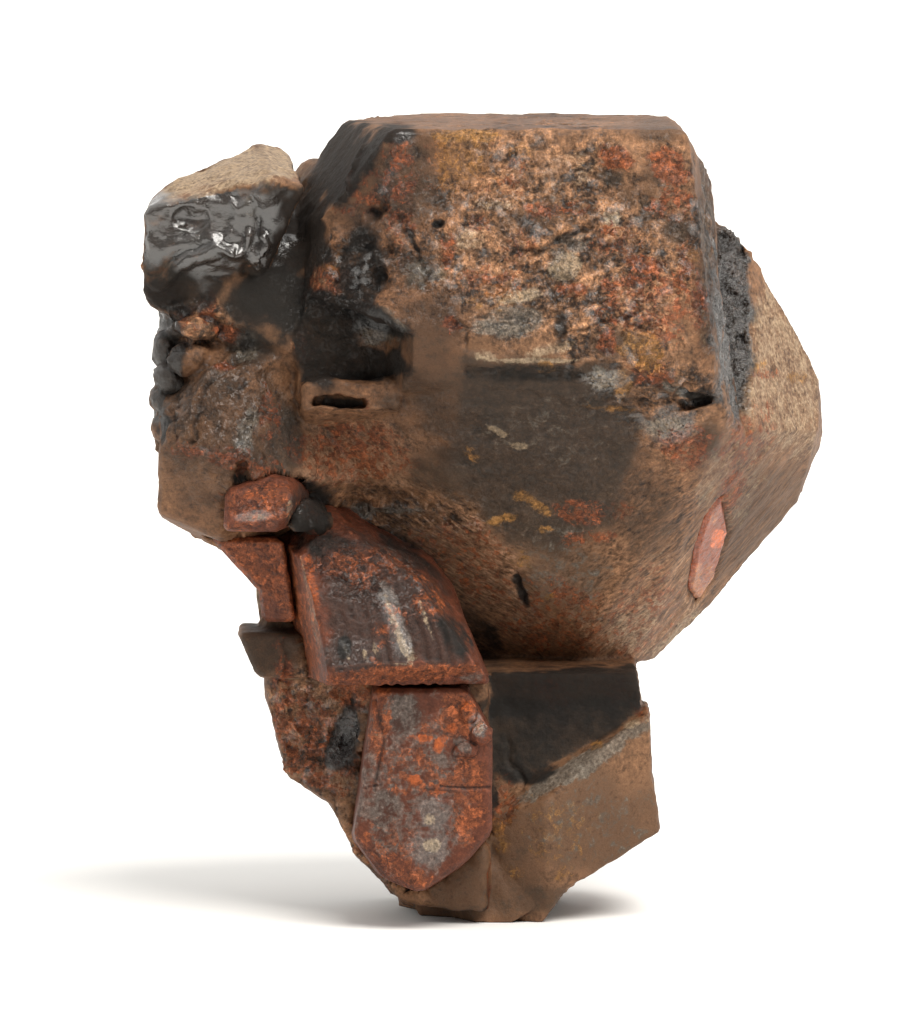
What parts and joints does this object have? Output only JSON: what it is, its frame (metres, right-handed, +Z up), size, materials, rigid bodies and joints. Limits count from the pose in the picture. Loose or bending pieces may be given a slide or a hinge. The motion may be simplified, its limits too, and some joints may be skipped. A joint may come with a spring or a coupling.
{
  "type": "mineral specimen",
  "caption": "Upright cluster of dark octahedral crystals intergrown with smaller red-brown prism and tablet crystals, cut flat under its lowest crystal.",
  "frame": {"origin": "a point near the middle of the flat underside, which is the plane z = 0", "axes": "+Z up through the standing specimen, +X to the right and -Y towards the front of the pictured side"},
  "size_m": [0.0238, 0.0174, 0.0277],
  "materials": {
    "betafite": "satin",
    "zircon": "satin",
    "zircon_sliver": "satin"
  },
  "bodies": {
    "root": {"betafite": "betafite", "zircon_prism": "zircon", "zircon_tablet": "zircon", "zircon_plate": "zircon", "zircon_knob": "zircon", "zircon_sliver": "zircon_sliver"}
  },
  "joints": []
}
